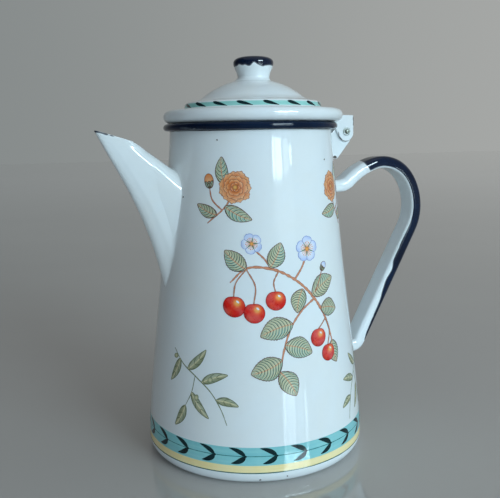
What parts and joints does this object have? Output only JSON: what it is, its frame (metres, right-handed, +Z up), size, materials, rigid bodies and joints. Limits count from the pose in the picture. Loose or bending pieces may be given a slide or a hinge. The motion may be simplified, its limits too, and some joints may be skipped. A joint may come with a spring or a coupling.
{
  "type": "coffee pot",
  "caption": "Enamelled steel coffee pot with a tapering body, a pelican spout, a strap handle and a hinged domed lid with a knob.",
  "frame": {"origin": "centre of the flat resting face, on the axis of the body", "axes": "+Z up along the body's axis, +X from the axis towards the handle (the spout points to -X), +Y across; XZ is the mirror plane"},
  "size_m": [0.2131, 0.13, 0.2301],
  "materials": {
    "white_enamel": "gloss enamel on steel",
    "navy_enamel": "gloss enamel on steel",
    "steel": "dull, worn"
  },
  "bodies": {
    "pot": {"body_wall": "white_enamel", "base_pan": "white_enamel", "spout": "white_enamel", "handle": "navy_enamel", "hinge_bracket": "white_enamel", "hinge_pin": "steel", "hinge_washers": "steel"},
    "lid": {"lid_shell": "white_enamel", "lid_collar": "white_enamel", "knob": "navy_enamel", "lid_hinge_ear": "white_enamel"}
  },
  "joints": [
    {"name": "lid_hinge", "type": "hinge", "parent": "pot", "child": "lid", "pos_m": [0.0616, 0, 0.1869], "axis": [0, 1, 0], "range_deg": [0, 105]}
  ]
}
